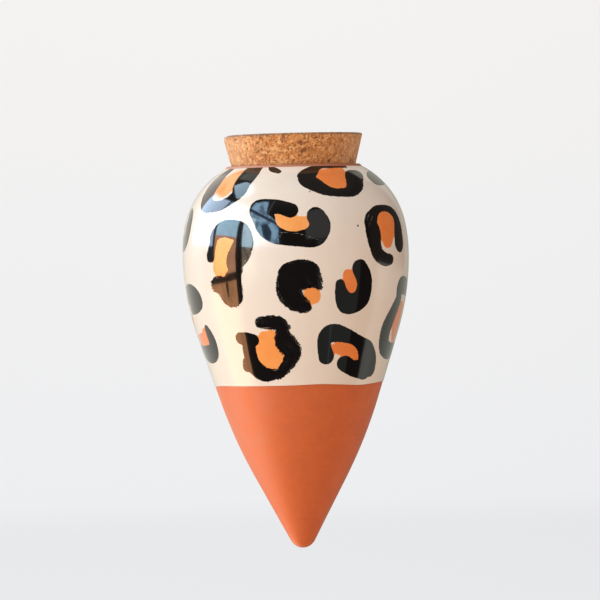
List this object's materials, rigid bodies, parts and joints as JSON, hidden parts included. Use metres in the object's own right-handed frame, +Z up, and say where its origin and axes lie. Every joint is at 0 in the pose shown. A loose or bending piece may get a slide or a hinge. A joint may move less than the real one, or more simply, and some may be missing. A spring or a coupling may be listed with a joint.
{
  "type": "irrigation olla",
  "caption": "Hollow terracotta spike with a glazed, spotted belly and a tapered cork: stands in a pot's soil and lets its water seep out.",
  "frame": {"origin": "on the axis at the soil line, the level of the glaze's lower edge, to which the bare cone is pushed into the soil", "axes": "+Z up along the axis, from the tip to the cork; the part is round, so +X and +Y are any two directions square to it"},
  "size_m": [0.088, 0.088, 0.1605],
  "materials": {
    "terracotta": "bare fired clay, matt and slightly sandy",
    "cream_glaze": "gloss cream glaze with brushed black and orange leopard spots",
    "agglomerated_cork": "pressed cork granules, matt"
  },
  "bodies": {
    "vessel": {"terracotta_vessel": "terracotta", "glaze_coat": "cream_glaze"},
    "cork": {"cork_stopper": "agglomerated_cork"}
  },
  "joints": [
    {"name": "cork_lift", "type": "slide", "parent": "vessel", "child": "cork", "axis": [0, 0, 1], "range_m": [0, 0.045]}
  ]
}
